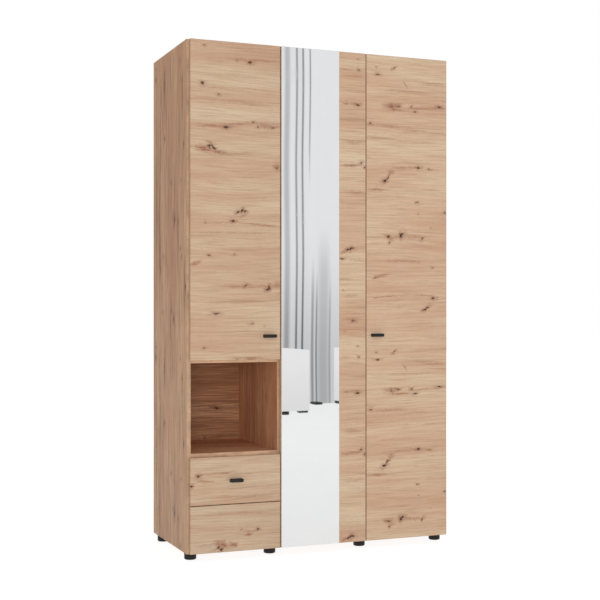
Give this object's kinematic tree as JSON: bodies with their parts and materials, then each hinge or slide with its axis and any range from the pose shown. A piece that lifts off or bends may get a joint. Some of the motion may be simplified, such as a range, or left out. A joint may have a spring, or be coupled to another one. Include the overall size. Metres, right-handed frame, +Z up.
{
  "type": "wardrobe",
  "caption": "Tall oak-look wardrobe: hinged doors, one with a full-height mirror strip, an open niche and stacked drawers on low round feet.",
  "frame": {"origin": "on the floor, below the centre of the outer box of the closed wardrobe, handles included", "axes": "+Z up, +X to the right seen from the front, the doors face -Y"},
  "size_m": [1.125, 0.5236, 2],
  "materials": {
    "oak_fronts": "oak-decor melamine board, satin, horizontal grain",
    "oak_carcass": "oak-decor melamine board, satin, vertical grain on uprights",
    "back_board": "thin fibreboard, matt",
    "drawer_board": "melamine board, satin",
    "mirror_glass": "silvered float glass, polished edges",
    "tape": "foam adhesive tape",
    "handle_black": "satin black powder coat",
    "foot_plastic": "black moulded plastic",
    "hinge_steel": "nickel-plated pressed steel",
    "screw_steel": "zinc-plated",
    "runner_steel": "zinc-plated rolled steel",
    "cam_zinc": "die-cast zinc",
    "dowel_beech": "raw beech",
    "rail_chrome": "chromed steel tube",
    "grey_plastic": "moulded plastic",
    "clear_rubber": "clear soft dots"
  },
  "bodies": {
    "carcass": {"side_left": "oak_carcass", "side_right": "oak_carcass", "partition": "oak_carcass", "top_panel": "oak_carcass", "bottom_panel": "oak_carcass", "niche_top_shelf": "oak_carcass", "niche_floor_shelf": "oak_carcass", "niche_back": "oak_carcass", "hat_shelf": "oak_carcass", "adjustable_shelf_1": "oak_carcass", "adjustable_shelf_2": "oak_carcass", "adjustable_shelf_3": "oak_carcass", "back_sheet_left": "back_board", "back_sheet_middle": "back_board", "back_sheet_right": "back_board", "back_joiner": "grey_plastic", "back_nails": "screw_steel", "shelf_pins": "screw_steel", "clothes_rail": "rail_chrome", "rail_brackets": "grey_plastic", "feet": "foot_plastic", "foot_screws": "screw_steel", "dowels": "dowel_beech", "cam_bolts": "screw_steel", "cam_locks": "cam_zinc", "door_bumpers": "clear_rubber", "hinge_plates": "hinge_steel", "hinge_plate_screws": "screw_steel", "hinge_arms_left": "hinge_steel", "hinge_arms_middle": "hinge_steel", "hinge_arms_right": "hinge_steel", "runner_outer_members": "runner_steel"},
    "left_door": {"door_left": "oak_fronts", "hinge_cups_left": "hinge_steel", "handle_left": "handle_black", "handle_screws_left": "screw_steel"},
    "middle_door": {"door_middle": "oak_fronts", "mirror": "mirror_glass", "mirror_tape": "tape", "hinge_cups_middle": "hinge_steel"},
    "right_door": {"door_right": "oak_fronts", "hinge_cups_right": "hinge_steel", "handle_right": "handle_black", "handle_screws_right": "screw_steel"},
    "upper_drawer": {"upper_drawer_front": "oak_fronts", "upper_drawer_side_left": "drawer_board", "upper_drawer_side_right": "drawer_board", "upper_drawer_back": "drawer_board", "upper_drawer_bottom": "back_board", "upper_drawer_handle": "handle_black", "upper_drawer_handle_screws": "screw_steel", "upper_drawer_inner_members": "runner_steel"},
    "upper_runner": {"upper_runner_middle_members": "runner_steel"},
    "lower_drawer": {"lower_drawer_front": "oak_fronts", "lower_drawer_side_left": "drawer_board", "lower_drawer_side_right": "drawer_board", "lower_drawer_back": "drawer_board", "lower_drawer_bottom": "back_board", "lower_drawer_inner_members": "runner_steel"},
    "lower_runner": {"lower_runner_middle_members": "runner_steel"}
  },
  "joints": [
    {"name": "left_door_hinge", "type": "hinge", "parent": "carcass", "child": "left_door", "pos_m": [-0.54625, -0.23425, 1.3841], "axis": [0, 0, -1], "range_deg": [0, 105]},
    {"name": "middle_door_hinge", "type": "hinge", "parent": "carcass", "child": "middle_door", "pos_m": [-0.17625, -0.23425, 1.0145], "axis": [0, 0, -1], "range_deg": [0, 90]},
    {"name": "right_door_hinge", "type": "hinge", "parent": "carcass", "child": "right_door", "pos_m": [0.54625, -0.23425, 1.0145], "axis": [0, 0, 1], "range_deg": [0, 105]},
    {"name": "upper_drawer_slide", "type": "slide", "parent": "carcass", "child": "upper_drawer", "axis": [0, -1, 0], "range_m": [0, 0.38]},
    {"name": "upper_runner_slide", "type": "slide", "parent": "carcass", "child": "upper_runner", "axis": [0, -1, 0], "range_m": [0, 0.19]},
    {"name": "lower_drawer_slide", "type": "slide", "parent": "carcass", "child": "lower_drawer", "axis": [0, -1, 0], "range_m": [0, 0.38]},
    {"name": "lower_runner_slide", "type": "slide", "parent": "carcass", "child": "lower_runner", "axis": [0, -1, 0], "range_m": [0, 0.19]}
  ],
  "couplings": [
    {"joint": "upper_runner_slide", "follows": "upper_drawer_slide", "ratio": 0.5},
    {"joint": "lower_runner_slide", "follows": "lower_drawer_slide", "ratio": 0.5}
  ]
}
